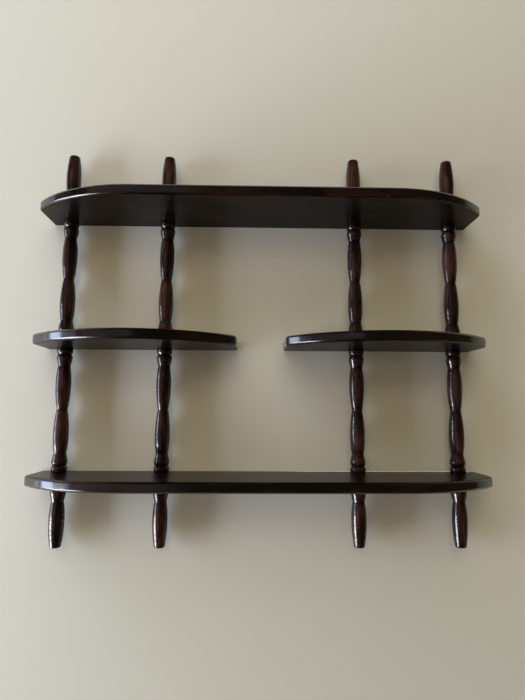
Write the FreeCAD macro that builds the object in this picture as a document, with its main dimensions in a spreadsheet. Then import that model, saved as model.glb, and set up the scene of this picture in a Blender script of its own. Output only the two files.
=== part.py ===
import FreeCAD, Part
import Sketcher
import math
import os

# An open wall rack for plates, in dark mahogany. Two long boards and two short middle boards are
# threaded on four turned columns. Each column is a top finial, two spindles and a bottom finial, and
# a double-ended dowel screw at every board pulls the turned pieces above and below onto it.
#
# Frame: +Z is up, +X is to the right, and the wall is the plane Y = 0, with the rack in front of it
# (-Y). The origin is on the rear edge of the top board, half way between the two keyholes.
# All sizes are in millimetres.

SIZES = (
    ("board_length", 665, "long boards, end to end"),
    ("board_depth", 126, "every board, from the wall to its front"),
    ("board_thickness", 15, "every board"),
    ("end_depth", 60, "straight end of a board, from the wall to its corner"),
    ("sweep_run", 146, "how far along a long board the swept front corner reaches"),
    ("corner_radius", 15, "corner between a board's end and its sweep"),
    ("edge_radius", 3.5, "rounded upper and lower edges of the boards"),
    ("centre_gap", 72, "between the inner ends of the two middle boards"),
    ("section_length", 186, "spindle, and so the clear height between two boards"),
    ("finial_length", 93.5, "finial, from its board to its tip"),
    ("column_inset", 32.5, "outer column's axis, from the end of the board"),
    ("column_pitch", 152, "between the axes of a pair of columns"),
    ("wall_clearance", 3.3, "between the widest part of a column and the wall"),
    ("foot_radius", 11.0, "collar, where it stands on the board"),
    ("collar_peak", 4.8, "collar's widest place, from the board"),
    ("collar_radius", 11.7, "collar at its widest"),
    ("groove_place", 9.6, "groove between collar and cup, from the board"),
    ("groove_radius", 9.8, "bottom of that groove"),
    ("cup_peak", 14.8, "cup's widest place, from the board"),
    ("cup_radius", 11.6, "cup at its widest"),
    ("neck_place", 27.5, "neck between cup and vase, from the board"),
    ("neck_radius", 9.0, "neck"),
    ("vase_peak", 55, "vase's widest place, from the board"),
    ("vase_radius", 11.3, "vase at its widest"),
    ("waist_radius", 7.9, "waist where two vases meet, and the end of a finial"),
    ("tip_radius", 2.2, "rounded edge at a finial's end"),
    ("screw_radius", 3, "dowel screw"),
    ("screw_grip", 22, "screw's hold in each turned piece"),
    ("point_length", 5, "tapered point at each end of the screw"),
    ("point_taper", 2, "what the point takes off the screw's radius"),
    ("bore_clearance", 0.1, "radial, round the screw in a turned piece"),
    ("bore_end_room", 2, "beyond the screw's point, to the end of its bore"),
    ("hole_clearance", 0.25, "radial, round the screw in a board"),
    ("keyhole_spacing", 406, "between the middles of the two keyholes"),
    ("keyhole_travel", 12, "from a keyhole's entry to either seat"),
    ("shank_slot_radius", 2.5, "narrow slot for a wall screw's shank"),
    ("head_slot_radius", 5, "entry, and the channel behind it for the screw's head"),
    ("keyhole_lip", 4, "wood that the screw's head pulls against"),
    ("channel_depth", 5, "channel beyond the lip"),
)

# Lengths that follow from the sizes, as expressions of the sheet.
OUTER_COLUMN = "(Sizes.board_length / 2 - Sizes.column_inset)"
INNER_COLUMN = f"({OUTER_COLUMN} - Sizes.column_pitch)"
COLUMN_DEPTH = "(-(Sizes.collar_radius + Sizes.wall_clearance))"
MIDDLE_LENGTH = "((Sizes.board_length - Sizes.centre_gap) / 2)"
MIDDLE_CENTRE = f"((Sizes.board_length - {MIDDLE_LENGTH}) / 2)"
BORE_RADIUS = "(Sizes.screw_radius + Sizes.bore_clearance)"
BORE_DEPTH = "(Sizes.screw_grip + Sizes.bore_end_room)"
HOLE_RADIUS = "(Sizes.screw_radius + Sizes.hole_clearance)"
SCREW_LENGTH = "(Sizes.board_thickness + 2 * Sizes.screw_grip)"
CUP_RISE = "(Sizes.cup_peak - Sizes.groove_place)"
CUP_SWELL = "(Sizes.cup_radius - Sizes.groove_radius)"
CUP_ROUND = f"(({CUP_RISE} ^ 2 + {CUP_SWELL} ^ 2) / (2 * {CUP_SWELL}))"

# How a sketch counts its own axes, and the points of a line, arc or circle.
ACROSS_AXIS, UP_AXIS = -1, -2
START, END, CENTRE = range(1, 4)

# Places closer than this are the same, and a cut that takes less than this volume has missed.
SAME_PLACE = 0.001
LEAST_CUT = 1

NORMAL = FreeCAD.Vector(0, 0, 1)
TOWARDS_REAR = FreeCAD.Vector(0, 1, 0)
TOWARDS_AXIS = FreeCAD.Vector(-1, 0, 0)
UPRIGHT = FreeCAD.Rotation()
UPSIDE_DOWN = FreeCAD.Rotation(FreeCAD.Vector(1, 0, 0), 180)

doc = FreeCAD.newDocument("WallPlateRack")
sheet = doc.addObject("Spreadsheet::Sheet", "Sizes")


def fill_sheet():
    """One row for each driving size: its name, its value and what it measures."""
    for row, (alias, value, meaning) in enumerate(SIZES, start=1):
        sheet.set(f"A{row}", alias)
        sheet.set(f"B{row}", str(value))
        sheet.set(f"C{row}", meaning)
        sheet.setAlias(f"B{row}", alias)
    doc.recompute()


def number(expression):
    """The value of an expression of the sheet's sizes."""
    return float(sheet.evalExpression(expression))


def spot(across, up):
    """A place in a sketch, from two expressions."""
    return FreeCAD.Vector(number(across), number(up), 0)


def underside(board):
    """The height of the underside of the top (0), a middle (1) or the bottom (2) board."""
    storey = "(Sizes.section_length + Sizes.board_thickness)"
    return f"(-Sizes.board_thickness / 2 - {board} * {storey})"


def upper_face(board):
    return f"({underside(board)} + Sizes.board_thickness)"


# ---- sketches ----

def new_sketch(body, role, name, offset=None):
    """An empty sketch on one of the body's own origin planes, or at an offset from it."""
    sketch = body.newObject("Sketcher::SketchObject", f"{body.Label}_{name}")
    plane = next(item for item in body.Origin.OriginFeatures if item.Role == role)
    sketch.AttachmentSupport = [(plane, "")]
    sketch.MapMode = "FlatFace"
    if offset:
        sketch.setExpression("AttachmentOffset.Base.z", offset)
    return sketch


def bind(sketch, kind, *items):
    """Add a constraint whose value, the last item, is an expression of the sheet."""
    *geometry, expression = items
    index = sketch.addConstraint(Sketcher.Constraint(kind, *geometry, number(expression)))
    sketch.setExpression(f"Constraints[{index}]", expression)


def pin(sketch, element, point, across, up):
    """Hold a point of a sketch at two distances from its origin; "0" puts it on the axis itself."""
    for kind, axis, expression in (("DistanceX", UP_AXIS, across), ("DistanceY", ACROSS_AXIS, up)):
        if expression == "0":
            sketch.addConstraint(Sketcher.Constraint("PointOnObject", element, point, axis))
        else:
            bind(sketch, kind, ACROSS_AXIS, START, element, point, expression)


def arc_between(centre, start, end):
    """The anticlockwise arc about a centre from one point to another."""
    first = math.atan2(start.y - centre.y, start.x - centre.x)
    last = math.atan2(end.y - centre.y, end.x - centre.x)
    if last < first:
        last += 2 * math.pi
    return Part.ArcOfCircle(Part.Circle(centre, NORMAL, start.distanceToPoint(centre)), first, last)


def add_line(sketch, start, end):
    """A straight line between two places; its end is held there."""
    element = sketch.addGeometry(Part.LineSegment(spot(*start), spot(*end)))
    pin(sketch, element, END, *end)
    return element


def add_sweep(sketch, start, end, crown, inward):
    """An anticlockwise arc between two places, its centre straight inward from its crown end."""
    ends = {START: spot(*start), END: spot(*end)}
    chord = ends[START + END - crown] - ends[crown]
    centre = ends[crown] + inward * (chord.dot(chord) / (2 * chord.dot(inward)))
    element = sketch.addGeometry(arc_between(centre, ends[START], ends[END]))
    pin(sketch, element, END, *end)
    aligned = "Vertical" if inward.x == 0 else "Horizontal"
    sketch.addConstraint(Sketcher.Constraint(aligned, element, CENTRE, element, crown))
    return element


def add_cup(sketch, groove, neck):
    """The cup: round from the groove over its widest place, then a straight taper to the neck."""
    radius = number(CUP_ROUND)
    centre = spot(f"Sizes.cup_radius - {CUP_ROUND}", "Sizes.cup_peak")
    reach = spot(*neck) - centre
    leaving = math.atan2(reach.y, reach.x) - math.acos(radius / reach.Length)
    shoulder = centre + FreeCAD.Vector(math.cos(leaving), math.sin(leaving), 0) * radius
    rounding = sketch.addGeometry(arc_between(centre, spot(*groove), shoulder))
    bind(sketch, "DistanceY", ACROSS_AXIS, START, rounding, CENTRE, "Sizes.cup_peak")
    bind(sketch, "Radius", rounding, CUP_ROUND)
    taper = sketch.addGeometry(Part.LineSegment(shoulder, spot(*neck)))
    pin(sketch, taper, END, *neck)
    return [rounding, taper]


def join(sketch, elements, tangent_pair=None):
    """Join each element's end to the next one's start, and the last to the first."""
    for pair in zip(elements, elements[1:] + elements[:1]):
        kind = "Tangent" if tangent_pair == pair else "Coincident"
        sketch.addConstraint(Sketcher.Constraint(kind, pair[0], END, pair[1], START))


def add_circle(sketch, across, up, radius):
    element = sketch.addGeometry(Part.Circle(spot(across, up), NORMAL, number(radius)))
    pin(sketch, element, CENTRE, across, up)
    bind(sketch, "Radius", element, radius)


def draw_board(sketch, length, run):
    """A board from above: straight rear and ends, and a sweep from each corner into the front.

    With no run given, the sweeps are as long as they can be and meet in the middle of the front.
    """
    half = f"({length} / 2)"
    front = "(-Sizes.board_depth)"
    corner = "(-Sizes.end_depth)"
    left_foot = (f"({run} - {half})", front) if run else ("0", front)
    right_foot = (f"({half} - {run})", front) if run else ("0", front)
    outline = [add_line(sketch, (f"(-{half})", "0"), (f"(-{half})", corner))]
    outline.append(add_sweep(sketch, (f"(-{half})", corner), left_foot, END, TOWARDS_REAR))
    if run:
        outline.append(add_line(sketch, left_foot, right_foot))
    outline.append(add_sweep(sketch, right_foot, (half, corner), START, TOWARDS_REAR))
    outline.append(add_line(sketch, (half, corner), (half, "0")))
    outline.append(add_line(sketch, (half, "0"), (f"(-{half})", "0")))
    join(sketch, outline)


def draw_turning(sketch, length):
    """Half the section of a turned piece, from the collar on its board to its narrow end."""
    foot = ("Sizes.foot_radius", "0")
    collar = ("Sizes.collar_radius", "Sizes.collar_peak")
    groove = ("Sizes.groove_radius", "Sizes.groove_place")
    neck = ("Sizes.neck_radius", "Sizes.neck_place")
    vase = ("Sizes.vase_radius", "Sizes.vase_peak")
    narrow_end = ("Sizes.waist_radius", length)
    outline = [add_line(sketch, ("0", "0"), foot)]
    outline.append(add_sweep(sketch, foot, collar, END, TOWARDS_AXIS))
    outline.append(add_sweep(sketch, collar, groove, START, TOWARDS_AXIS))
    cup = add_cup(sketch, groove, neck)
    outline.extend(cup)
    outline.append(add_sweep(sketch, neck, vase, END, TOWARDS_AXIS))
    outline.append(add_sweep(sketch, vase, narrow_end, START, TOWARDS_AXIS))
    outline.append(add_line(sketch, narrow_end, ("0", length)))
    outline.append(add_line(sketch, ("0", length), ("0", "0")))
    join(sketch, outline, tangent_pair=tuple(cup))


def draw_keyhole(sketch, middle, radius):
    """A slot along the board's rear edge, with a half-round seat at each end."""
    rise = FreeCAD.Vector(0, number(radius), 0)
    arcs = []
    for side in (1, -1):
        seat = (f"({middle} + {side} * Sizes.keyhole_travel)", "(Sizes.board_thickness / 2)")
        centre = spot(*seat)
        element = sketch.addGeometry(arc_between(centre, centre - rise * side, centre + rise * side))
        pin(sketch, element, CENTRE, *seat)
        arcs.append(element)
    for first, second in (arcs, reversed(arcs)):
        flank = Part.LineSegment(sketch.getPoint(first, END), sketch.getPoint(second, START))
        element = sketch.addGeometry(flank)
        sketch.addConstraint(Sketcher.Constraint("Tangent", first, END, element, START))
        sketch.addConstraint(Sketcher.Constraint("Tangent", element, END, second, START))
    sketch.addConstraint(Sketcher.Constraint("Equal", *arcs))
    bind(sketch, "Radius", arcs[0], radius)


# ---- features ----

def new_body(label, across, depth, up, turn=UPRIGHT):
    """A body at its place in the rack, which three expressions give."""
    body = doc.addObject("PartDesign::Body", label)
    body.Label = label
    body.Placement = FreeCAD.Placement(FreeCAD.Vector(), turn)
    for axis, expression in (("x", across), ("y", depth), ("z", up)):
        body.setExpression(f"Placement.Base.{axis}", expression)
    return body


def add_feature(body, kind, name, sizes=None, **settings):
    """Add a feature to a body: sizes are expressions of the sheet, and settings are plain values."""
    feature = body.newObject(f"PartDesign::{kind}", f"{body.Label}_{name}")
    for key, setting in settings.items():
        setattr(feature, key, setting)
    for key, expression in (sizes or {}).items():
        feature.setExpression(key, expression)
    doc.recompute()
    return feature


def cut(body, kind, name, sizes, **settings):
    """Add a feature that takes material away, and make sure that it did."""
    before = body.Shape.Volume
    feature = add_feature(body, kind, name, sizes, **settings)
    if feature.Shape.Volume > before - LEAST_CUT:
        raise RuntimeError(f"{name} takes nothing from {body.Label}")
    return feature


def drill(body, sketch, radius, sizes, **settings):
    """Drill upwards from the body's lower face, one hole for each circle of a sketch."""
    doc.recompute()
    sizes = {"Diameter": f"2 * {radius}", **sizes}
    return cut(body, "Hole", "drilled", sizes, Profile=sketch, Reversed=True, **settings)


def edges_by_middle(feature, test):
    """A feature with the names of those of its edges whose middle passes a test."""
    names = []
    for index, edge in enumerate(feature.Shape.Edges, start=1):
        if test(edge.valueAt((edge.FirstParameter + edge.LastParameter) / 2)):
            names.append(f"Edge{index}")
    return feature, names


def same(first, second):
    return abs(first - second) < SAME_PLACE


# ---- the pieces ----

def make_board(label, length, run, columns, centre, level):
    """A board with swept corners and rounded edges, and a hole for the screw of each column."""
    body = new_body(label, centre, "0", level)
    outline = new_sketch(body, "XY_Plane", "outline")
    draw_board(outline, length, run)
    add_feature(body, "Pad", "blank", {"Length": "Sizes.board_thickness"}, Profile=outline)
    end = number(length) / 2
    corner = -number("Sizes.end_depth")
    corners = edges_by_middle(body.Tip, lambda p: same(abs(p.x), end) and same(p.y, corner))
    cut(body, "Fillet", "corners", {"Radius": "Sizes.corner_radius"}, Base=corners)
    thickness = number("Sizes.board_thickness")

    def on_rim(place):
        return not same(place.y, 0) and (same(place.z, 0) or same(place.z, thickness))

    rim = edges_by_middle(body.Tip, on_rim)
    cut(body, "Fillet", "rim", {"Radius": "Sizes.edge_radius"}, Base=rim)
    drilling = new_sketch(body, "XY_Plane", "drilling")
    for across in columns:
        add_circle(drilling, across, COLUMN_DEPTH, HOLE_RADIUS)
    drill(body, drilling, HOLE_RADIUS, {}, DepthType="ThroughAll")
    return body


def cut_keyholes(body):
    """A keyhole near each end of the rear edge: the entry in its middle, a seat to either side."""
    middle = "(Sizes.keyhole_spacing / 2)"
    lip = "Sizes.keyhole_lip"
    entry = new_sketch(body, "XZ_Plane", "entry")
    add_circle(entry, middle, "(Sizes.board_thickness / 2)", "Sizes.head_slot_radius")
    shank_slot = new_sketch(body, "XZ_Plane", "shank_slot")
    draw_keyhole(shank_slot, middle, "Sizes.shank_slot_radius")
    channel = new_sketch(body, "XZ_Plane", "channel", offset=lip)
    draw_keyhole(channel, middle, "Sizes.head_slot_radius")
    depths = {entry: f"{lip} + Sizes.channel_depth", shank_slot: lip, channel: "Sizes.channel_depth"}
    cuts = []
    for sketch, depth in depths.items():
        cuts.append(cut(body, "Pocket", "keyhole", {"Length": depth}, Profile=sketch, Reversed=True))
    across = next(item for item in body.Origin.OriginFeatures if item.Role == "YZ_Plane")
    body.Tip = cut(body, "Mirrored", "keyholes", {}, Originals=cuts, MirrorPlane=(across, [""]))


def turn_half(body, length):
    """Turn a piece from its collar to its narrow end, and bore its foot for the screw."""
    section = new_sketch(body, "XZ_Plane", "section")
    draw_turning(section, length)
    axis = (section, ["V_Axis"])
    turned = add_feature(body, "Revolution", "turned", Profile=section, ReferenceAxis=axis)
    boring = new_sketch(body, "XY_Plane", "boring")
    add_circle(boring, "0", "0", BORE_RADIUS)
    bored = drill(body, boring, BORE_RADIUS, {"Depth": BORE_DEPTH}, DepthType="Dimension")
    return [turned, bored]


def make_spindle(label, across, level):
    """Two vases that meet at a waist, each with a cup and a collar at the board."""
    body = new_body(label, across, COLUMN_DEPTH, level)
    middle = "(Sizes.section_length / 2)"
    half = turn_half(body, middle)
    waist = body.newObject("PartDesign::Plane", f"{label}_waist")
    floor = next(item for item in body.Origin.OriginFeatures if item.Role == "XY_Plane")
    waist.AttachmentSupport = [(floor, "")]
    waist.MapMode = "FlatFace"
    waist.setExpression("AttachmentOffset.Base.z", middle)
    body.Tip = add_feature(body, "Mirrored", "whole", Originals=half, MirrorPlane=(waist, [""]))
    return body


def make_finial(label, across, level, turn=UPRIGHT):
    """One vase with its cup and collar, and a narrow end with a rounded edge."""
    body = new_body(label, across, COLUMN_DEPTH, level, turn)
    turn_half(body, "Sizes.finial_length")
    tip = number("Sizes.finial_length")
    edge = edges_by_middle(body.Tip, lambda p: same(p.z, tip))
    cut(body, "Fillet", "tip", {"Radius": "Sizes.tip_radius"}, Base=edge)
    return body


def make_screws(label, columns, centre, board):
    """The dowel screws of one board, a solid for each column, pointed at both ends."""
    body = new_body(label, centre, "0", f"({underside(board)} + Sizes.board_thickness / 2)")
    rods = new_sketch(body, "XY_Plane", "rods")
    for across in columns:
        add_circle(rods, across, COLUMN_DEPTH, "Sizes.screw_radius")
    add_feature(body, "Pad", "shanks", {"Length": SCREW_LENGTH}, Profile=rods, SideType="Symmetric")
    tip = number(SCREW_LENGTH) / 2
    rims = edges_by_middle(body.Tip, lambda p: same(abs(p.z), tip))
    points = {"Size": "Sizes.point_length", "Size2": "Sizes.point_taper"}
    cut(body, "Chamfer", "points", points, Base=rims, ChamferType="Two distances")
    return body


def check_and_write(bodies):
    """Stop if anything in the document failed, then write one file for each piece."""
    doc.recompute()
    for item in doc.Objects:
        if "Invalid" in item.State or "Error" in item.State:
            raise RuntimeError(f"{item.Label} failed: {item.State}")
        if item.isDerivedFrom("Sketcher::SketchObject") and not item.FullyConstrained:
            raise RuntimeError(f"{item.Label} is not fully constrained")
    os.makedirs("parts", exist_ok=True)
    for body in bodies:
        if body.Shape.isNull() or not body.Shape.isValid():
            raise RuntimeError(f"{body.Label} has no valid shape")
    for body in bodies:
        body.Shape.exportStep(f"parts/{body.Label}.step")
        print(body.Label, "solids:", len(body.Shape.Solids), "volume:", round(body.Shape.Volume))


def main():
    fill_sheet()
    columns = (OUTER_COLUMN, INNER_COLUMN)
    all_four = [f"({side} * {column})" for side in (-1, 1) for column in columns]
    length, run = "Sizes.board_length", "Sizes.sweep_run"
    bodies = []
    for label, board in (("top", 0), ("bottom", 2)):
        bodies.append(make_board(f"{label}_board", length, run, all_four, "0", underside(board)))
        bodies.append(make_screws(f"{label}_board_screws", all_four, "0", board))
    cut_keyholes(bodies[0])
    for name, side in (("left", -1), ("right", 1)):
        centre = f"({side} * {MIDDLE_CENTRE})"
        pair = [f"({side} * ({column} - {MIDDLE_CENTRE}))" for column in columns]
        label = f"{name}_middle_board"
        bodies.append(make_board(label, MIDDLE_LENGTH, None, pair, centre, underside(1)))
        bodies.append(make_screws(f"{name}_middle_screws", pair, centre, 1))
        for prefix, column in (("outer_", OUTER_COLUMN), ("inner_", INNER_COLUMN)):
            across = f"({side} * {column})"
            column_name = f"{prefix}{name}"
            bodies.append(make_finial(f"{column_name}_top_finial", across, upper_face(0)))
            bodies.append(make_spindle(f"{column_name}_upper_spindle", across, upper_face(1)))
            bodies.append(make_spindle(f"{column_name}_lower_spindle", across, upper_face(2)))
            bodies.append(make_finial(f"{column_name}_bottom_finial", across, underside(2), UPSIDE_DOWN))
    check_and_write(bodies)


main()
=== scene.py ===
import math

import bmesh
import bpy
from bpy.props import FloatProperty, FloatVectorProperty, PointerProperty, StringProperty
from mathutils import Matrix, Vector


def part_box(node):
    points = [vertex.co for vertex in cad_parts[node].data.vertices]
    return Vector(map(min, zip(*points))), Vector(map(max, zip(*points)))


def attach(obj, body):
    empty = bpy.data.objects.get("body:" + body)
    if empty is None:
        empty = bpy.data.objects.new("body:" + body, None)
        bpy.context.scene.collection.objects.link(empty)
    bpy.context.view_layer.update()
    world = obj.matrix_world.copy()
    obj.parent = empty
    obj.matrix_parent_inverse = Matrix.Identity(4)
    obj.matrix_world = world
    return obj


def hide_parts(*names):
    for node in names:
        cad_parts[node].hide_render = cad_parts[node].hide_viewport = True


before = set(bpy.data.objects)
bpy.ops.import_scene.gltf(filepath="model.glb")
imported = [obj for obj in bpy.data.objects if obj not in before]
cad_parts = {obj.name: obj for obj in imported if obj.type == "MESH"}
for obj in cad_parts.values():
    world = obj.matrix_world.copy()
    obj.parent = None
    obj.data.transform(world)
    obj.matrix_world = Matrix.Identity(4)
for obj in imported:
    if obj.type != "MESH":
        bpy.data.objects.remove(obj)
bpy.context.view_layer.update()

bl_info = {
    "name": "Wall plate rack",
    "version": (1, 0, 0),
    "blender": (4, 5, 0),
    "location": "View3D > Sidebar > Plate rack",
    "description": "Models and finishes an open plate rack of mahogany boards on turned columns",
    "category": "Object",
}

# The rack's rear edges lie in the plane Y = 0, just off the wall that it hangs on, with its front
# towards -Y. Its boards and turned pieces are modelled anew from bmesh operators, each in the place of
# its node of the frame, and its dowel screws are the frame's own. Lengths are in metres.

MM = 0.001
UP = Vector((0, 0, 1))
RIGHT = Vector((1, 0, 0))
TOWARDS_REAR = Vector((0, 1, 0))
MIDDLE_BOARDS = ("left_middle_board", "right_middle_board")
COLUMNS = ("outer_left", "inner_left", "inner_right", "outer_right")
SCREWS = ("top_board_screws", "bottom_board_screws", "left_middle_screws", "right_middle_screws")

# Soft light as in a room with a tall window to the left, near the wall. Azimuths are in degrees from
# straight in front, to the right, and elevations from level. Some lamps light the rack and the wall,
# and others are the bright things in the room that show in the gloss.
LIT_PLACE = Vector((0, 0, -0.2))    # what every lamp faces, near the middle of the rack
LAMPS = (
    {"name": "window", "azimuth": -76.5, "elevation": -13, "distance": 2.2, "size": (0.42, 1.85),
     "watts": 64, "colour": "#dde9ff", "lights": True, "mirrored": False},
    {"name": "light from the upper left", "azimuth": -62, "elevation": 55, "distance": 2.4,
     "size": (1.6, 1.6), "watts": 23.5, "colour": "#bcd5ff", "lights": True, "mirrored": False},
    {"name": "light from the ceiling", "azimuth": -20, "elevation": 70, "distance": 2.4,
     "size": (2.4, 2.4), "watts": 22.5, "colour": "#fff8f4", "lights": True, "mirrored": False},
    {"name": "light from above the camera", "azimuth": 5, "elevation": 35, "distance": 2.4,
     "size": (1.4, 1.4), "watts": 9, "colour": "#fbffe5", "lights": True, "mirrored": False},
    {"name": "light from beside the camera", "azimuth": -20, "elevation": 12, "distance": 2.4,
     "size": (1.0, 1.4), "watts": 8, "colour": "#ffe3bc", "lights": True, "mirrored": False},
    {"name": "light from behind", "azimuth": 150, "elevation": 30, "distance": 2.4,
     "size": (2.4, 2.4), "watts": 170, "colour": "#fff6ea", "lights": True, "mirrored": True},
    {"name": "window in the gloss", "azimuth": -80, "elevation": -1.5, "distance": 2.2,
     "size": (0.46, 0.90), "watts": 13, "colour": "#cfe0ff", "lights": False, "mirrored": True},
    {"name": "sill in the gloss", "azimuth": -74, "elevation": -29, "distance": 2.2,
     "size": (0.94, 1.24), "watts": 66, "colour": "#f2f6fd", "lights": False, "mirrored": True},
    {"name": "curtain in the gloss", "azimuth": -67, "elevation": -14, "distance": 2.2,
     "size": (0.60, 1.75), "watts": 4.2, "colour": "#d9e8ff", "lights": False, "mirrored": True},
    {"name": "pale room in the gloss", "azimuth": -32, "elevation": 5, "distance": 2.4,
     "size": (1.9, 2.8), "watts": 3.2, "colour": "#fff4fd", "lights": False, "mirrored": True},
)

CHORD_ERROR = 0.008 * MM    # how far a stretch of an arc may cut inside it
CREASE = math.radians(14)   # edges that turn more than this stay crisp
ROUNDING_STEPS = 10         # across a board's rounded edge
TURNING_STEPS = 72          # round a turned piece
WELD = 0.001 * MM           # vertices closer than this are one
CUT_PAST = 1 * MM           # how far a cutter stands out of the wood
FRAME_LONG_SIDE = 36        # of the camera's frame, in millimetres


def linear(hex_value):
    """The linear colour of an sRGB hex value."""
    parts = (int(hex_value[start:start + 2], 16) / 255 for start in (1, 3, 5))
    return [part / 12.92 if part <= 0.04045 else ((part + 0.055) / 1.055) ** 2.4 for part in parts] + [1]


# ---- sizes and colours that can be changed ----

def length(name, description, millimetres):
    return FloatProperty(name=name, description=description, default=millimetres * MM, unit="LENGTH")


def colour(name, description, default):
    return StringProperty(name=name, description=description, default=default)


class BoardSizes(bpy.types.PropertyGroup):
    """The outline and edges of the boards; their length, depth and thickness come from the frame."""

    end_depth: length("End depth", "Straight end of a board, from the wall to its corner", 60)
    sweep_run: length("Sweep run", "How far along a board its swept front corner reaches", 146)
    corner_radius: length("Corner radius", "Corner between a board's end and its sweep", 15)
    edge_radius: length("Edge radius", "Rounded upper and lower edges of the boards", 3.5)
    crown_radius: length("Crown radius", "Slight crown across the boards' edges, in the shading", 18.5)
    hole_radius: length("Hole radius", "Hole for a dowel screw", 3.25)
    keyhole_spacing: length("Keyhole spacing", "Between the middles of the two keyholes", 406)
    keyhole_travel: length("Keyhole travel", "From a keyhole's entry to either seat", 12)
    shank_slot_radius: length("Shank slot radius", "Narrow slot for a wall screw's shank", 2.5)
    head_slot_radius: length("Head slot radius", "Entry, and the channel for the screw's head", 5)
    keyhole_lip: length("Keyhole lip", "Wood that the screw's head pulls against", 4)
    channel_depth: length("Channel depth", "Channel beyond the lip", 5)


class TurningSizes(bpy.types.PropertyGroup):
    """The profile of a turned piece, from the collar on its board to its narrow end."""

    foot_radius: length("Foot radius", "Collar, where it stands on the board", 11.0)
    collar_peak: length("Collar peak", "Collar's widest place, from the board", 4.8)
    collar_radius: length("Collar radius", "Collar at its widest", 11.7)
    groove_place: length("Groove place", "Groove between collar and cup, from the board", 9.6)
    groove_radius: length("Groove radius", "Bottom of that groove", 9.8)
    cup_peak: length("Cup peak", "Cup's widest place, from the board", 14.8)
    cup_radius: length("Cup radius", "Cup at its widest", 11.6)
    neck_place: length("Neck place", "Neck between cup and vase, from the board", 27.5)
    neck_radius: length("Neck radius", "Neck", 9.0)
    vase_peak: length("Vase peak", "Vase's widest place, from the board", 55)
    vase_radius: length("Vase radius", "Vase at its widest", 11.3)
    waist_radius: length("Waist radius", "Waist of two vases, and the end of a finial", 7.9)
    tip_radius: length("Tip radius", "Rounded edge at a finial's end", 2.2)
    bore_radius: length("Bore radius", "Bore for a dowel screw", 3.1)
    bore_depth: length("Bore depth", "Depth of that bore", 24)


class Finish(bpy.types.PropertyGroup):
    """Colours of the finishes, as sRGB hex values."""

    board_dark: colour("Dark stain, boards", "Stain where a board's grain takes most", "#040201")
    board_stain: colour("Stain, boards", "Stain over most of a board", "#0c0504")
    board_red: colour("Red wood, boards", "Wood that shows through a board's stain", "#27140f")
    turning_dark: colour("Dark stain, turnings", "Stain where a turning's grain takes most", "#170b08")
    turning_stain: colour("Stain, turnings", "Stain over most of a turned piece", "#26140f")
    turning_red: colour("Red wood, turnings", "Wood that shows through a turning's stain", "#54352a")
    # Also the colour of the painted shade in the turned pieces' grooves, necks, waists and feet.
    pore: colour("Pores", "Stain gathered in the pores and grooves", "#060303")
    worn: colour("Worn edge", "Wood where the lacquer is rubbed thin", "#6b4034")
    steel: colour("Steel", "Zinc-plated steel of the screws", "#b9bcc0")
    wall: colour("Wall", "Cream wall paint", "#dcd8ca")
    floor: colour("Floor", "Pale floor", "#dedbd3")
    backdrop: colour("Backdrop", "What shows beyond the wall and the floor", "#d6d4cc")
    ambient: colour("Ambient", "Tint of the light from the room on all sides", "#ffe4bc")


class StageSizes(bpy.types.PropertyGroup):
    """The wall, the floor, the light and the camera."""

    wall_gap: length("Wall gap", "From the wall to the rear edges of the boards", 0.8)
    floor_drop: length("Floor drop", "From the lowest finial to the floor", 1400)
    room: length("Room", "Width of the wall and of the floor", 6000)
    light_level: FloatProperty(
        name="Light level", description="All lamps together, 1 as photographed", default=1
    )
    ambient: FloatProperty(name="Ambient", description="Light from the room on all sides", default=0.12)
    mirrored_room: FloatProperty(
        name="Mirrored room", description="The dim room that the gloss shows", default=0.05
    )
    focal_length: FloatProperty(
        name="Focal length", description=f"For a frame {FRAME_LONG_SIDE} mm along its long side",
        default=26.34, unit="CAMERA",
    )
    camera_place: FloatVectorProperty(
        name="Camera place", description="Where the camera stands",
        default=(-0.0137, -0.8016, -0.3046), subtype="TRANSLATION", unit="LENGTH",
    )
    camera_pitch: FloatProperty(
        name="Camera pitch", description="Upward tilt", default=math.radians(6.92), subtype="ANGLE"
    )
    camera_yaw: FloatProperty(
        name="Camera yaw", description="Turn to the right", default=math.radians(1.20), subtype="ANGLE"
    )
    camera_roll: FloatProperty(
        name="Camera roll", description="Tilt to the side", default=math.radians(0.28), subtype="ANGLE"
    )


# ---- materials ----

def add_node(tree, kind, inputs=None, **settings):
    """Add a node: its settings by name, and for each input a value or the output that feeds it."""
    node = tree.nodes.new(f"ShaderNode{kind}")
    for key, setting in settings.items():
        setattr(node, key, setting)
    for key, value in (inputs or {}).items():
        if isinstance(value, bpy.types.NodeSocket):
            tree.links.new(value, node.inputs[key])
        else:
            node.inputs[key].default_value = value
    return node


def new_material(name):
    """An empty material, its node tree and the input of its surface."""
    material = bpy.data.materials.new(name)
    material.use_nodes = True
    tree = material.node_tree
    tree.nodes.clear()
    output = tree.nodes.new("ShaderNodeOutputMaterial")
    return material, tree, output.inputs["Surface"]


def stretched_noise(tree, place, grain, across, along, detail, distortion=0.0):
    """Noise drawn out along the grain, a number from 0 to 1, with its spacings in millimetres."""
    scale = [1 / (across * MM)] * 3
    scale[grain] = 1 / (along * MM)
    mapping = add_node(tree, "Mapping", {"Vector": place, "Scale": scale})
    noise = {"Vector": mapping.outputs["Vector"], "Scale": 1, "Detail": detail, "Distortion": distortion}
    return add_node(tree, "TexNoise", noise).outputs["Fac"]


def patches(tree, place, grain, across, along, detail, levels, ends=(0, 1), distortion=0.0):
    """That noise in soft-edged patches: the first end past the first level, the other past the second."""
    noise = stretched_noise(tree, place, grain, across, along, detail, distortion)
    return add_node(tree, "MapRange", {
        "Value": noise,
        "From Min": levels[0],
        "From Max": levels[1],
        "To Min": ends[0],
        "To Max": ends[1],
    }, interpolation_type="SMOOTHSTEP").outputs["Result"]


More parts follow.
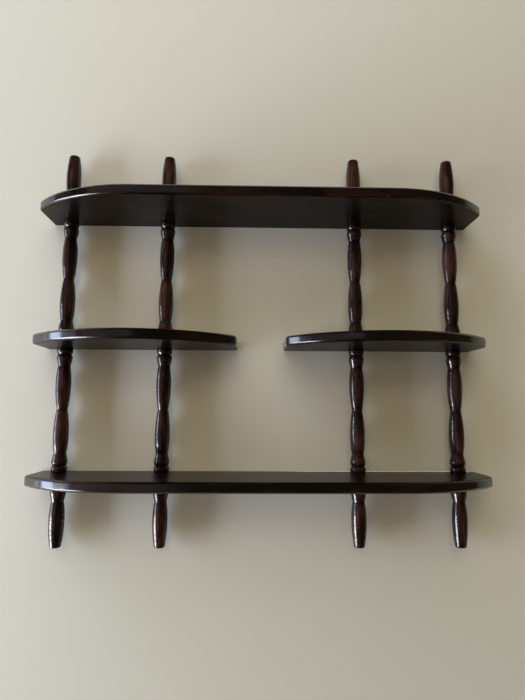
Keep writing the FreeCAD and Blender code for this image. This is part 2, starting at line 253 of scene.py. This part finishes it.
def stained_mahogany(tree, place, grain, dark, stain, red, pore):
    """The colour of mahogany under a dark stain; grain is the axis it runs along, 0 for X and 2 for Z.

    Bands of the stain and the red wood that shows through it run along the grain, with short dark
    pores between. Both are drawn a little coarser than life, so that they show at arm's length. The
    pattern of the pores comes back too.
    """
    bands = patches(
        tree, place, grain, across=3.2, along=95, detail=3, levels=(0.34, 0.66), distortion=0.6
    )
    fibres = patches(tree, place, grain, across=1.3, along=42, detail=4, levels=(0.36, 0.64), ends=(0.2, 1))
    clouds = patches(tree, place, grain, across=15, along=60, detail=2, levels=(0.40, 0.64))
    dashes = stretched_noise(tree, place, grain, across=1.0, along=10, detail=1)
    banded = add_node(
        tree, "Mix", {"Factor": bands, "A": linear(dark), "B": linear(stain)}, data_type="RGBA"
    ).outputs["Result"]
    bare = add_node(tree, "Math", {0: clouds, 1: fibres}, operation="MULTIPLY").outputs["Value"]
    stained = add_node(
        tree, "Mix", {"Factor": bare, "A": banded, "B": linear(red)}, data_type="RGBA"
    ).outputs["Result"]
    pores = add_node(tree, "MapRange", {
        "Value": dashes, "From Min": 0.38, "From Max": 0.26, "To Min": 0, "To Max": 0.8,
    }, interpolation_type="SMOOTHSTEP").outputs["Result"]
    porous = add_node(
        tree, "Mix", {"Factor": pores, "A": stained, "B": linear(pore)}, data_type="RGBA"
    ).outputs["Result"]
    return porous, dashes


def lacquer(tree, surface, base, pores, ripples, gloss, roughness, sanded=None):
    """Clear lacquer over the stain: it dips a little at the pores, and flowed out unevenly as it dried.

    Where it was rubbed down, its gloss is gone and leaves only a weak soft shine at a low angle. The
    wood itself mirrors little, because it bends light nearly as the lacquer does. The height of a
    sanded crown can be given, in metres.
    """
    pore_bump = add_node(tree, "Bump", {"Height": pores, "Strength": 0.25, "Distance": 0.06 * MM})
    flow_bump = add_node(tree, "Bump", {"Height": ripples, "Strength": 0.5, "Distance": 0.10 * MM})
    if sanded is not None:
        crown = add_node(tree, "Bump", {"Height": sanded, "Strength": 1, "Distance": 1})
        tree.links.new(crown.outputs["Normal"], flow_bump.inputs["Normal"])
    shader = add_node(tree, "BsdfPrincipled", {
        "Base Color": base,
        "Roughness": 0.33,
        "IOR": 1.17,
        "Normal": pore_bump.outputs["Normal"],
        "Coat Weight": gloss,
        "Coat Roughness": roughness,
        "Coat IOR": 1.6,
        "Coat Normal": flow_bump.outputs["Normal"],
    })
    tree.links.new(shader.outputs["BSDF"], surface)


def lacquered_boards(name, finish):
    """Mahogany board, stained dark and lacquered, its flat faces rubbed down to satin.

    The flat faces give a soft, weak reflection, the edges are still glossy, and here and there the
    rounding is worn back to redder wood.
    """
    _, tree, surface = new_material(name)
    place = add_node(tree, "TexCoord").outputs["Object"]
    stain, pores = stained_mahogany(
        tree, place, 0, finish.board_dark, finish.board_stain, finish.board_red, finish.pore
    )
    rubs = patches(tree, place, 0, across=2.4, along=11, detail=3, levels=(0.60, 0.78), ends=(0, 0.5))
    rounding = add_node(tree, "Attribute", attribute_name="rounding").outputs["Fac"]
    worn = add_node(tree, "Math", {0: rounding, 1: rubs}, operation="MULTIPLY").outputs["Value"]
    base = add_node(
        tree, "Mix", {"Factor": worn, "A": stain, "B": linear(finish.worn)}, data_type="RGBA"
    ).outputs["Result"]
    ripples = stretched_noise(tree, place, 0, across=7, along=16, detail=2)
    edge = add_node(tree, "Attribute", attribute_name="edge").outputs["Fac"]
    gloss = add_node(tree, "MapRange", {
        "Value": edge, "From Min": 0, "From Max": 0.5, "To Min": 0.10, "To Max": 1,
    }, interpolation_type="SMOOTHSTEP").outputs["Result"]
    crown = add_node(tree, "Attribute", attribute_name="crown").outputs["Fac"]
    lacquer(tree, surface, base, pores, ripples, gloss, roughness=0.13, sanded=crown)


def lacquered_turnings(name, finish):
    """Mahogany turned on a lathe, stained dark and lacquered to a gloss.

    The grooves and the corner at the board are darkened to the colour of the pores, and the necks,
    the waists and the feet less so, where the fine rings that the tool left show darker: this is
    painted shade, and stain that gathered there. The crowns of the vases stay redder. The lacquer is
    thin in spots, which break up the streaks of light along a vase.
    """
    _, tree, surface = new_material(name)
    place = add_node(tree, "TexCoord").outputs["Object"]
    stain, pores = stained_mahogany(
        tree, place, 2, finish.turning_dark, finish.turning_stain, finish.turning_red, finish.pore
    )
    # Painted shade, with stain built up, at the necks, the waists and the feet, ringed by the tool's marks.
    rings = patches(tree, place, 2, across=300, along=1.1, detail=2, levels=(0.60, 0.42), ends=(0.35, 0.9))
    hollow = add_node(tree, "Attribute", attribute_name="hollow").outputs["Fac"]
    ringed = add_node(tree, "Math", {0: hollow, 1: rings}, operation="MULTIPLY").outputs["Value"]
    darkened = add_node(
        tree, "Mix", {"Factor": ringed, "A": stain, "B": linear(finish.pore)}, data_type="RGBA"
    ).outputs["Result"]
    # Painted shade in the groove and the corner at the board, with stain gathered there, down to the pores'
    # colour.
    groove = add_node(tree, "Attribute", attribute_name="groove").outputs["Fac"]
    base = add_node(
        tree, "Mix", {"Factor": groove, "A": darkened, "B": linear(finish.pore)}, data_type="RGBA"
    ).outputs["Result"]
    ripples = stretched_noise(tree, place, 2, across=3.2, along=5, detail=2)
    gloss = patches(tree, place, 2, across=2.0, along=3.0, detail=2, levels=(0.36, 0.60), ends=(0.3, 1))
    lacquer(tree, surface, base, pores, ripples, gloss, roughness=0.09)


def plated_steel(name, finish):
    """Steel rod with a thin zinc plating: bright, with fine scratches along its length."""
    _, tree, surface = new_material(name)
    place = add_node(tree, "TexCoord").outputs["Object"]
    scratches = patches(
        tree, place, 2, across=0.5, along=12, detail=4, levels=(0.3, 0.7), ends=(0.28, 0.45)
    )
    shader = add_node(tree, "BsdfPrincipled", {
        "Base Color": linear(finish.steel),
        "Metallic": 1,
        "Roughness": scratches,
    })
    tree.links.new(shader.outputs["BSDF"], surface)


def matt_paint(name, hex_value, spacing):
    """Emulsion paint, with the faint mottle that a roller leaves, spaced in millimetres.

    Its shader comes back unjoined, for the surface to take as it is or mixed with another.
    """
    material, tree, surface = new_material(name)
    place = add_node(tree, "TexCoord").outputs["Object"]
    mottle = stretched_noise(tree, place, 0, across=spacing, along=spacing, detail=3)
    bump = add_node(tree, "Bump", {"Height": mottle, "Strength": 0.3, "Distance": 0.3 * MM})
    shader = add_node(tree, "BsdfPrincipled", {
        "Base Color": linear(hex_value),
        "Roughness": 0.85,
        "Specular IOR Level": 0.3,
        "Normal": bump.outputs["Normal"],
    })
    return material, tree, surface, shader.outputs["BSDF"]


# ---- modelling ----

def line_to(mesh, last, place):
    """Carry a chain of edges on from its last vertex, straight to a place."""
    vertex = mesh.verts.new(place)
    mesh.edges.new((last, vertex))
    return vertex


def arc_to(mesh, last, place, centre, axis):
    """Carry a chain of edges on from its last vertex, along an arc about a centre, to a place."""
    start = last.co - centre
    finish = place - centre
    angle = math.atan2(axis.dot(start.cross(finish)), start.dot(finish))
    finest = 2 * math.acos(1 - CHORD_ERROR / start.length)
    steps = max(3, math.ceil(abs(angle) / finest))
    swept = bmesh.ops.spin(mesh, geom=[last], cent=centre, axis=axis, angle=angle, steps=steps)
    return next(item for item in swept["geom_last"] if isinstance(item, bmesh.types.BMVert))


def crown_centre(crown, other, inward):
    """The centre of the arc through two places that lies straight inward from the first."""
    chord = other - crown
    return crown + inward * (chord.dot(chord) / (2 * chord.dot(inward)))


def to_piece(name, mesh, material):
    """Turn a mesh into an object with one material: smooth, but crisp along its creases."""
    bmesh.ops.remove_doubles(mesh, verts=mesh.verts, dist=WELD)
    bmesh.ops.recalc_face_normals(mesh, faces=mesh.faces)
    for face in mesh.faces:
        face.smooth = True
    for edge in mesh.edges:
        edge.smooth = edge.calc_face_angle(0) < CREASE
    data = bpy.data.meshes.new(name)
    mesh.to_mesh(data)
    mesh.free()
    data.materials.append(material)
    piece = bpy.data.objects.new(name, data)
    bpy.context.scene.collection.objects.link(piece)
    return piece


def stand_for(piece, node):
    """Show a piece in place of a node of the frame, which is hidden, and hang it on the root body."""
    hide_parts(node)
    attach(piece, "root")


def paint(mesh, layer_name, strength):
    """Store a number on each vertex of a mesh, from its place, for the finish to read."""
    layer = mesh.verts.layers.float.new(layer_name)
    for vertex in mesh.verts:
        vertex[layer] = strength(vertex.co)


# ---- boards ----

def board_outline(mesh, sizes, half, depth, run, level):
    """Draw a board from above as a closed chain of edges: half of it, and then its mirror image."""
    front = -depth
    sweep_radius = (run ** 2 + (depth - sizes.end_depth) ** 2) / (2 * (depth - sizes.end_depth))
    sweep_centre = Vector((half - run, front + sweep_radius, level))
    inner = sweep_radius - sizes.corner_radius
    corner_x = half - sizes.corner_radius
    corner_y = sweep_centre.y - math.sqrt(inner ** 2 - (corner_x - sweep_centre.x) ** 2)
    corner_centre = Vector((corner_x, corner_y, level))
    sweep_start = sweep_centre + (corner_centre - sweep_centre) * (sweep_radius / inner)
    last = mesh.verts.new((0, 0, level))
    last = line_to(mesh, last, (half, 0, level))
    last = line_to(mesh, last, (half, corner_y, level))
    last = arc_to(mesh, last, sweep_start, corner_centre, UP)
    last = arc_to(mesh, last, Vector((half - run, front, level)), sweep_centre, UP)
    if half > run + WELD:
        last = line_to(mesh, last, (0, front, level))
    geometry = mesh.verts[:] + mesh.edges[:]
    bmesh.ops.mirror(mesh, geom=geometry, matrix=Matrix.Identity(4), merge_dist=WELD, axis="X")


def board_blank(sizes, node):
    """A board with swept corners and rounded edges, in the place of a node of the frame.

    The sweeps of a middle board meet half way along it.
    """
    low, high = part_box(node)
    middle = (low.x + high.x) / 2
    half = (high.x - low.x) / 2
    run = half if node in MIDDLE_BOARDS else sizes.sweep_run
    mesh = bmesh.new()
    board_outline(mesh, sizes, half, high.y - low.y, run, low.z)
    bmesh.ops.contextual_create(mesh, geom=mesh.edges[:])
    raised = bmesh.ops.extrude_face_region(mesh, geom=mesh.faces[:])["geom"]
    vertices = [item for item in raised if isinstance(item, bmesh.types.BMVert)]
    bmesh.ops.translate(mesh, verts=vertices, vec=UP * (high.z - low.z))
    bmesh.ops.recalc_face_normals(mesh, faces=mesh.faces)
    rim = []
    for edge in mesh.edges:
        level = abs(edge.verts[0].co.z - edge.verts[1].co.z) < WELD
        rear = all(vertex.co.y > -WELD for vertex in edge.verts)
        if level and not rear:
            rim.append(edge)
    bmesh.ops.bevel(
        mesh, geom=rim, offset=sizes.edge_radius, offset_type="OFFSET", segments=ROUNDING_STEPS,
        profile=0.5, affect="EDGES", material=-1, clamp_overlap=False,
    )
    bmesh.ops.translate(mesh, verts=mesh.verts, vec=RIGHT * middle)
    top, foot = high.z - sizes.edge_radius, low.z + sizes.edge_radius

    def into_rounding(place):
        """0 on the upright edge, 1 on the flat faces, and between them on a rounding."""
        return max(place.z - top, foot - place.z, 0) / sizes.edge_radius

    def upright(place):
        """1 on the upright edge, and 0 on the flat faces and at the rear."""
        return 1 - into_rounding(place) if place.y < -WELD else 0

    def rounded(place):
        """1 half way round a rounding, and 0 at both its sides and at the rear."""
        return 1 - abs(2 * into_rounding(place) - 1) if place.y < -WELD else 0

    def crown(place):
        """The height of a low arc from the underside to the upper face."""
        return (high.z - place.z) * (place.z - low.z) / (2 * sizes.crown_radius)

    paint(mesh, "edge", upright)
    paint(mesh, "rounding", rounded)
    paint(mesh, "crown", crown)
    return mesh


def cutter(outline, direction):
    """A closed solid to cut with: an outline, drawn by a function, and carried on in a direction."""
    mesh = bmesh.new()
    outline(mesh)
    bmesh.ops.contextual_create(mesh, geom=mesh.edges[:])
    carried = bmesh.ops.extrude_face_region(mesh, geom=mesh.faces[:])["geom"]
    vertices = [item for item in carried if isinstance(item, bmesh.types.BMVert)]
    bmesh.ops.translate(mesh, verts=vertices, vec=direction)
    bmesh.ops.recalc_face_normals(mesh, faces=mesh.faces)
    data = bpy.data.meshes.new("cutter")
    mesh.to_mesh(data)
    mesh.free()
    return data


def draw_circle(mesh, centre, radius, axis):
    start = mesh.verts.new(centre + radius * axis.orthogonal().normalized())
    steps = math.ceil(math.pi / math.acos(1 - CHORD_ERROR / radius))
    bmesh.ops.spin(
        mesh, geom=[start], cent=centre, axis=axis, angle=2 * math.pi, steps=steps, use_merge=True
    )


def draw_slot(mesh, centre, travel, radius):
    """A slot along X in an upright plane, with a half-round end at each side."""
    rise = UP * radius
    right_end, left_end = centre + RIGHT * travel, centre - RIGHT * travel
    first = mesh.verts.new(right_end - rise)
    last = arc_to(mesh, first, right_end + RIGHT * radius, right_end, -TOWARDS_REAR)
    last = arc_to(mesh, last, right_end + rise, right_end, -TOWARDS_REAR)
    last = line_to(mesh, last, left_end + rise)
    last = arc_to(mesh, last, left_end - RIGHT * radius, left_end, -TOWARDS_REAR)
    last = arc_to(mesh, last, left_end - rise, left_end, -TOWARDS_REAR)
    mesh.edges.new((last, first))


def cut_away(piece, cutters):
    """Cut solids out of a piece, one after the other."""
    for data in cutters:
        tool = bpy.data.objects.new("cutter", data)
        bpy.context.scene.collection.objects.link(tool)
        boolean = piece.modifiers.new("cut", "BOOLEAN")
        boolean.operation = "DIFFERENCE"
        boolean.solver = "EXACT"
        boolean.object = tool
        evaluated = piece.evaluated_get(bpy.context.evaluated_depsgraph_get())
        cut = bpy.data.meshes.new_from_object(evaluated)
        piece.modifiers.clear()
        old = piece.data
        piece.data = cut
        cut.name = piece.name
        bpy.data.meshes.remove(old)
        bpy.data.objects.remove(tool)
        bpy.data.meshes.remove(data)


def screw_holes(sizes, node):
    """Cutters for the holes of a board's dowel screws, each on the axis of its column."""
    low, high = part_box(node)
    cutters = []
    for column in COLUMNS:
        spindle_low, spindle_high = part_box(f"{column}_upper_spindle")
        axis = (spindle_low + spindle_high) / 2
        if low.x < axis.x < high.x:
            foot = Vector((axis.x, axis.y, low.z - CUT_PAST))
            cutters.append(cutter(
                lambda mesh, foot=foot: draw_circle(mesh, foot, sizes.hole_radius, UP),
                UP * (high.z - low.z + 2 * CUT_PAST),
            ))
    return cutters


def keyholes(sizes, node):
    """Cutters for the two keyholes in the rear edge of the top board."""
    low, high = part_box(node)
    past = TOWARDS_REAR * CUT_PAST
    lip = TOWARDS_REAR * -sizes.keyhole_lip
    channel = TOWARDS_REAR * -sizes.channel_depth
    cutters = []
    for side in (-1, 1):
        middle = Vector((side * sizes.keyhole_spacing / 2, high.y, (low.z + high.z) / 2))
        cutters.append(cutter(
            lambda mesh: draw_circle(mesh, middle + past, sizes.head_slot_radius, TOWARDS_REAR),
            lip - 2 * past,
        ))
        cutters.append(cutter(
            lambda mesh: draw_slot(mesh, middle + past, sizes.keyhole_travel, sizes.shank_slot_radius),
            lip - 2 * past,
        ))
        cutters.append(cutter(
            lambda mesh: draw_slot(mesh, middle + lip, sizes.keyhole_travel, sizes.head_slot_radius),
            channel,
        ))
    return cutters


def make_board(node, material, cutters):
    """One board, bored and cut, with its flat faces kept flat to the eye."""
    sizes = bpy.context.scene.rack_boards
    piece = to_piece(f"{node}_wood", board_blank(sizes, node), material)
    cut_away(piece, screw_holes(sizes, node) + cutters)
    piece.modifiers.new("flat faces", "WEIGHTED_NORMAL").keep_sharp = True
    stand_for(piece, node)


# ---- turned pieces ----

def half_profile(mesh, sizes, last, height, rounded):
    """Draw half the section of a turned piece, from its foot's bore up to its narrow end.

    The chain of edges lies in the plane Y = 0 with the axis at X = 0. A rounded end is closed on the
    axis; the other kind stops at the waist, where the next half goes on.
    """
    across = TOWARDS_REAR
    towards_axis = -RIGHT
    foot = Vector((sizes.foot_radius, 0, 0))
    collar = Vector((sizes.collar_radius, 0, sizes.collar_peak))
    groove = Vector((sizes.groove_radius, 0, sizes.groove_place))
    neck = Vector((sizes.neck_radius, 0, sizes.neck_place))
    vase = Vector((sizes.vase_radius, 0, sizes.vase_peak))
    end = Vector((sizes.waist_radius, 0, height))
    last = line_to(mesh, last, (sizes.bore_radius, 0, sizes.bore_depth))
    last = line_to(mesh, last, (sizes.bore_radius, 0, 0))
    last = line_to(mesh, last, foot)
    last = arc_to(mesh, last, collar, crown_centre(collar, foot, towards_axis), across)
    last = arc_to(mesh, last, groove, crown_centre(collar, groove, towards_axis), across)
    rise = sizes.cup_peak - sizes.groove_place
    swell = sizes.cup_radius - sizes.groove_radius
    cup_round = (rise ** 2 + swell ** 2) / (2 * swell)
    cup_centre = Vector((sizes.cup_radius - cup_round, 0, sizes.cup_peak))
    reach = neck - cup_centre
    leaving = math.atan2(reach.z, reach.x) - math.acos(cup_round / reach.length)
    shoulder = cup_centre + cup_round * Vector((math.cos(leaving), 0, math.sin(leaving)))
    last = arc_to(mesh, last, shoulder, cup_centre, across)
    last = line_to(mesh, last, neck)
    last = arc_to(mesh, last, vase, crown_centre(vase, neck, towards_axis), across)
    taper_centre = crown_centre(vase, end, towards_axis)
    if not rounded:
        return arc_to(mesh, last, end, taper_centre, across)
    inner = vase.x - taper_centre.x - sizes.tip_radius
    tip_height = height - sizes.tip_radius
    tip_centre = taper_centre + Vector((0, 0, tip_height - taper_centre.z))
    tip_centre.x += math.sqrt(inner ** 2 - (tip_height - taper_centre.z) ** 2)
    tip_start = taper_centre + (tip_centre - taper_centre) * ((inner + sizes.tip_radius) / inner)
    last = arc_to(mesh, last, tip_start, taper_centre, across)
    last = arc_to(mesh, last, tip_centre + UP * sizes.tip_radius, tip_centre, across)
    return line_to(mesh, last, (0, 0, height))


def turn_on_lathe(mesh):
    """Spin the profile once round the axis."""
    profile = mesh.verts[:] + mesh.edges[:]
    bmesh.ops.spin(
        mesh, geom=profile, cent=(0, 0, 0), axis=UP, angle=2 * math.pi, steps=TURNING_STEPS,
        use_merge=True,
    )
    bmesh.ops.remove_doubles(mesh, verts=mesh.verts, dist=WELD)


def groove_stain_and_shade(sizes, height):
    """How deep in a groove, or in the corner at the board, a height from the foot lies: 0 to 1."""
    # The number sets painted shade in the groove and in the corner at the board, with the stain that
    # gathers there.
    groove_reach, corner_reach = 2.0 * MM, 1.2 * MM
    groove = 1 - abs(height - sizes.groove_place) / groove_reach
    corner = 1 - height / corner_reach
    return max(groove, corner, 0)


def hollow_stain_and_shade(sizes, height, waist_height):
    """How near the neck, the waist or the foot of a turned piece a height lies: 0 to 1."""
    # The number sets painted shade at the necks, the waist and the feet, with the stain that builds up
    # there.
    neck_reach, waist_reach, foot_reach = 9 * MM, 16 * MM, 24 * MM
    less_darkened = 0.8
    neck = 1 - abs(height - sizes.neck_place) / neck_reach
    waist = less_darkened - abs(height - waist_height) / waist_reach
    foot = less_darkened - height / foot_reach
    return max(neck, waist, foot, 0)


def make_turning(node, material, mirrored, upside_down):
    """One turned piece: a spindle of two mirrored halves, or a finial with a rounded narrow end."""
    sizes = bpy.context.scene.rack_turnings
    low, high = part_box(node)
    height = high.z - low.z
    mesh = bmesh.new()
    start = mesh.verts.new((0, 0, sizes.bore_depth))
    if mirrored:
        half_profile(mesh, sizes, start, height / 2, rounded=False)
        to_waist = UP * (height / 2)
        bmesh.ops.translate(mesh, verts=mesh.verts, vec=-to_waist)
        geometry = mesh.verts[:] + mesh.edges[:]
        bmesh.ops.mirror(mesh, geom=geometry, matrix=Matrix.Identity(4), merge_dist=WELD, axis="Z")
        bmesh.ops.translate(mesh, verts=mesh.verts, vec=to_waist)
    else:
        half_profile(mesh, sizes, start, height, rounded=True)
    turn_on_lathe(mesh)

    def from_foot(place):
        return min(place.z, height - place.z) if mirrored else place.z

    waist_height = height / 2 if mirrored else height
    # The finish darkens these places with painted shade and the stain that gathers there: the groove, the
    # corner
    # at the board, the necks, the waist and the feet.
    paint(mesh, "groove", lambda place: groove_stain_and_shade(sizes, from_foot(place)))
    paint(mesh, "hollow", lambda place: hollow_stain_and_shade(sizes, from_foot(place), waist_height))
    if upside_down:
        bmesh.ops.rotate(mesh, verts=mesh.verts, cent=(0, 0, 0), matrix=Matrix.Rotation(math.pi, 3, "X"))
    foot_level = high.z if upside_down else low.z
    middle = (low + high) / 2
    bmesh.ops.translate(mesh, verts=mesh.verts, vec=(middle.x, middle.y, foot_level))
    piece = to_piece(f"{node}_wood", mesh, material)
    stand_for(piece, node)


# ---- operators ----

class RACK_OT_finishes(bpy.types.Operator):
    """Make the materials of the rack"""

    bl_idname = "rack.finishes"
    bl_label = "Finishes"

    def execute(self, context):
        finish = context.scene.rack_finish
        lacquered_boards("satin lacquered mahogany", finish)
        lacquered_turnings("gloss lacquered mahogany", finish)
        plated_steel("zinc-plated steel", finish)
        return {"FINISHED"}


class RACK_OT_long_boards(bpy.types.Operator):
    """Model the top board, with its keyholes, and the bottom board"""

    bl_idname = "rack.long_boards"
    bl_label = "Long boards"

    def execute(self, context):
        material = bpy.data.materials["satin lacquered mahogany"]
        make_board("top_board", material, keyholes(context.scene.rack_boards, "top_board"))
        make_board("bottom_board", material, [])
        return {"FINISHED"}


class RACK_OT_middle_boards(bpy.types.Operator):
    """Model the two short boards half way up"""

    bl_idname = "rack.middle_boards"
    bl_label = "Middle boards"

    def execute(self, context):
        material = bpy.data.materials["satin lacquered mahogany"]
        for node in MIDDLE_BOARDS:
            make_board(node, material, [])
        return {"FINISHED"}


class RACK_OT_spindles(bpy.types.Operator):
    """Turn the eight spindles between the boards"""

    bl_idname = "rack.spindles"
    bl_label = "Spindles"

    def execute(self, context):
        material = bpy.data.materials["gloss lacquered mahogany"]
        for column in COLUMNS:
            for place in ("upper", "lower"):
                make_turning(f"{column}_{place}_spindle", material, mirrored=True, upside_down=False)
        return {"FINISHED"}


class RACK_OT_finials(bpy.types.Operator):
    """Turn the finials above the top board and below the bottom board"""

    bl_idname = "rack.finials"
    bl_label = "Finials"

    def execute(self, context):
        material = bpy.data.materials["gloss lacquered mahogany"]
        for column in COLUMNS:
            for place in ("top", "bottom"):
                finial = f"{column}_{place}_finial"
                make_turning(finial, material, mirrored=False, upside_down=place == "bottom")
        return {"FINISHED"}


class RACK_OT_screws(bpy.types.Operator):
    """Finish the dowel screws, which keep the frame's shapes"""

    bl_idname = "rack.screws"
    bl_label = "Dowel screws"

    def execute(self, context):
        for node in SCREWS:
            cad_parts[node].data.materials.clear()
            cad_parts[node].data.materials.append(bpy.data.materials["zinc-plated steel"])
        return {"FINISHED"}


def stage_plane(name, size, place, turn, material):
    """A square plane that isn't part of the object, turned and then moved to its place."""
    mesh = bmesh.new()
    bmesh.ops.create_grid(mesh, x_segments=1, y_segments=1, size=size / 2)
    bmesh.ops.transform(mesh, verts=mesh.verts, matrix=Matrix.Translation(place) @ turn)
    data = bpy.data.meshes.new(name)
    mesh.to_mesh(data)
    mesh.free()
    data.materials.append(material)
    plane = bpy.data.objects.new(name, data)
    bpy.context.scene.collection.objects.link(plane)
    return plane


def hang_lamp(lamp, level):
    """Hang a soft rectangular lamp round the middle of the rack, facing it."""
    azimuth, elevation = math.radians(lamp["azimuth"]), math.radians(lamp["elevation"])
    outward = Matrix.Rotation(azimuth, 3, "Z") @ Matrix.Rotation(-elevation, 3, "X") @ -TOWARDS_REAR
    light = bpy.data.lights.new(lamp["name"], "AREA")
    light.shape = "RECTANGLE"
    light.size, light.size_y = lamp["size"]
    light.energy = lamp["watts"] * level
    light.color = linear(lamp["colour"])[:3]
    hung = bpy.data.objects.new(lamp["name"], light)
    hung.location = LIT_PLACE + outward * lamp["distance"]
    hung.rotation_euler = (-outward).to_track_quat("-Z", "Y").to_euler()
    hung.visible_camera = False
    hung.visible_diffuse = lamp["lights"]
    hung.visible_glossy = lamp["mirrored"]
    bpy.context.scene.collection.objects.link(hung)


class RACK_OT_stage(bpy.types.Operator):
    """Set up the wall, the floor, the light and the camera"""

    bl_idname = "rack.stage"
    bl_label = "Wall, light and camera"

    def execute(self, context):
        scene = context.scene
        stage, finish = scene.rack_stage, scene.rack_finish
        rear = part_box("top_board")[1].y
        floor_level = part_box("outer_left_bottom_finial")[0].z - stage.floor_drop

        # The wall is see-through from behind, so that the views from there show the rack. It is also
        # see-through to light that has come less than a hair's breadth, because it is that near to
        # the boards' rear edges, and they would be black in those views.
        wall_paint, tree, surface, shader = matt_paint("matt wall paint", finish.wall, spacing=6)
        seen_from_behind = add_node(tree, "NewGeometry").outputs["Backfacing"]
        travelled = add_node(tree, "LightPath").outputs["Ray Length"]
        a_hair = 3 * stage.wall_gap
        near = add_node(tree, "Math", {0: travelled, 1: a_hair}, operation="LESS_THAN").outputs["Value"]
        left_out = add_node(
            tree, "Math", {0: seen_from_behind, 1: near}, operation="MAXIMUM"
        ).outputs["Value"]
        see_through = add_node(tree, "BsdfTransparent").outputs["BSDF"]
        one_sided = add_node(tree, "MixShader", {0: left_out, 1: shader, 2: see_through})
        tree.links.new(one_sided.outputs["Shader"], surface)
        facing_front = Matrix.Rotation(math.radians(90), 4, "X")
        wall_place = (0, rear + stage.wall_gap, floor_level + stage.room / 2)
        stage_plane("wall", stage.room, wall_place, facing_front, wall_paint)

        floor_paint, tree, surface, shader = matt_paint("pale floor paint", finish.floor, spacing=12)
        tree.links.new(shader, surface)
        floor_width = 3 * stage.room
        lying_flat = Matrix.Identity(4)
        floor = stage_plane("floor", floor_width, (0, 0, floor_level), lying_flat, floor_paint)
        floor.visible_glossy = False

        for lamp in LAMPS:
            hang_lamp(lamp, stage.light_level)

        world = bpy.data.worlds.new("room")
        world.use_nodes = True
        tree = world.node_tree
        rays = add_node(tree, "LightPath").outputs
        seen = add_node(
            tree, "Math", {0: rays["Is Camera Ray"], 1: rays["Is Transmission Ray"]}, operation="MAXIMUM"
        ).outputs["Value"]
        unseen = add_node(
            tree, "Mix", {"Factor": rays["Is Glossy Ray"], "A": stage.ambient, "B": stage.mirrored_room}
        ).outputs["Result"]
        strength = add_node(tree, "Mix", {"Factor": seen, "A": unseen, "B": 1}).outputs["Result"]
        tint = add_node(tree, "Mix", {
            "Factor": seen, "A": linear(finish.ambient), "B": linear(finish.backdrop),
        }, data_type="RGBA").outputs["Result"]
        background = tree.nodes["Background"].inputs
        tree.links.new(tint, background["Color"])
        tree.links.new(strength, background["Strength"])
        scene.world = world

        lens = bpy.data.cameras.new("camera")
        lens.lens = stage.focal_length
        lens.sensor_width = FRAME_LONG_SIDE
        camera = bpy.data.objects.new("camera", lens)
        turn = Matrix.Rotation(-stage.camera_yaw, 4, "Z")
        tilt = Matrix.Rotation(math.radians(90) + stage.camera_pitch, 4, "X")
        roll = Matrix.Rotation(stage.camera_roll, 4, "Z")
        camera.matrix_world = Matrix.Translation(stage.camera_place) @ turn @ tilt @ roll
        scene.collection.objects.link(camera)
        scene.camera = camera
        scene.view_settings.view_transform = "Standard"
        return {"FINISHED"}


class RACK_PT_panel(bpy.types.Panel):
    """Lists the steps that make the rack, in order"""

    bl_idname = "RACK_PT_panel"
    bl_label = "Wall plate rack"
    bl_space_type = "VIEW_3D"
    bl_region_type = "UI"
    bl_category = "Plate rack"

    def draw(self, context):
        for step in STEPS:
            self.layout.operator(step.bl_idname)


STEPS = (
    RACK_OT_finishes, RACK_OT_long_boards, RACK_OT_middle_boards, RACK_OT_spindles,
    RACK_OT_finials, RACK_OT_screws, RACK_OT_stage,
)
GROUPS = {
    "rack_boards": BoardSizes,
    "rack_turnings": TurningSizes,
    "rack_finish": Finish,
    "rack_stage": StageSizes,
}


def register():
    for group in GROUPS.values():
        bpy.utils.register_class(group)
    for step in STEPS:
        bpy.utils.register_class(step)
    bpy.utils.register_class(RACK_PT_panel)
    for name, group in GROUPS.items():
        setattr(bpy.types.Scene, name, PointerProperty(type=group))


def unregister():
    for name in GROUPS:
        delattr(bpy.types.Scene, name)
    bpy.utils.unregister_class(RACK_PT_panel)
    for step in reversed(STEPS):
        bpy.utils.unregister_class(step)
    for group in reversed(GROUPS.values()):
        bpy.utils.unregister_class(group)


def main():
    register()
    for step in STEPS:
        _, operator = step.bl_idname.split(".")
        getattr(bpy.ops.rack, operator)()


if __name__ == "__main__":
    main()
